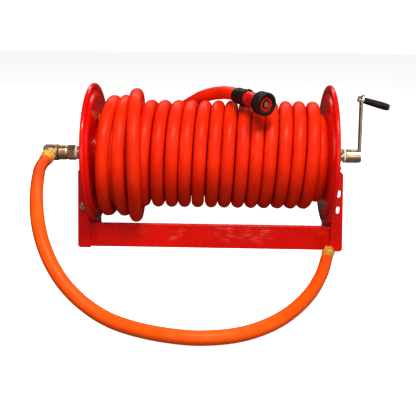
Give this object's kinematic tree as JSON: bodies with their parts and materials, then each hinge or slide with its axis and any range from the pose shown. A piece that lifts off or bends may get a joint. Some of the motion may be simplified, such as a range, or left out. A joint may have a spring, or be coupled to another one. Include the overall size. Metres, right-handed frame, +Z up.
{
  "type": "fire hose reel",
  "caption": "Floor-standing manual hose reel: cranked steel drum with wound fire hose and spray nozzle on a U-shaped frame, fed through a swivel by a lead hose.",
  "frame": {"origin": "on the floor, at the centre of the four foot bolt holes, under the axle and midway between the drum's discs", "axes": "+X along the axle towards the crank, -Y to the front where the lead hose lies, +Z up"},
  "size_m": [0.6943, 0.6012, 0.323],
  "materials": {
    "red_paint": "gloss",
    "fire_hose": "satin",
    "lead_rubber": "satin",
    "brass": "satin",
    "nickel": "satin",
    "zinc": "satin",
    "steel": "satin",
    "washer": "matte",
    "black_rubber": "matte",
    "black_plastic": "satin",
    "red_plastic": "gloss",
    "black_steel": "satin"
  },
  "bodies": {
    "frame": {"left_post": "red_paint", "right_post": "red_paint", "base_beam": "red_paint", "rear_tie": "red_paint", "left_bearing": "red_paint", "right_bearing": "red_paint", "left_bush": "brass", "right_bush": "brass", "left_bearing_bolts": "zinc", "right_bearing_bolts": "zinc", "slot_bolt": "zinc", "swivel_elbow": "nickel", "swivel_collar": "nickel", "swivel_seal": "black_rubber", "outlet_nut": "brass", "lead_ferrule": "brass", "lead_hose": "lead_rubber", "lead_end_tail": "brass", "lead_end_nut": "brass"},
    "drum": {"drum_core": "red_paint", "left_disc": "red_paint", "right_disc": "red_paint", "left_disc_bolts": "zinc", "right_disc_bolts": "zinc", "inlet_spigot": "nickel", "feed_elbow": "brass", "axle_stub": "steel", "left_washer": "washer", "right_washer": "washer", "crank_hub": "nickel", "crank_screw": "black_steel", "crank_arm": "steel", "grip_bolt": "steel", "grip_washer": "steel", "hose_coil": "fire_hose", "hose_third_layer": "fire_hose", "hose_end": "fire_hose", "nozzle_tail": "black_plastic", "nozzle_nut": "black_plastic", "nozzle_body": "red_plastic", "nozzle_stem": "nickel"},
    "spray_ring": {"nozzle_ring": "black_plastic", "nozzle_face": "red_plastic"},
    "grip": {"crank_grip": "black_plastic"}
  },
  "joints": [
    {"name": "drum_spin", "type": "hinge", "parent": "frame", "child": "drum", "pos_m": [0, 0, 0.183], "axis": [1, 0, 0], "range_deg": [-200, 90]},
    {"name": "ring_twist", "type": "hinge", "parent": "drum", "child": "spray_ring", "pos_m": [0.039, -0.013, 0.308], "axis": [0.5622, -0.8241, -0.0698], "range_deg": [0, 270]},
    {"name": "grip_spin", "type": "hinge", "parent": "drum", "child": "grip", "pos_m": [0.29453, 0, 0.29675], "axis": [0.9636, 0, -0.2672], "continuous": true}
  ]
}
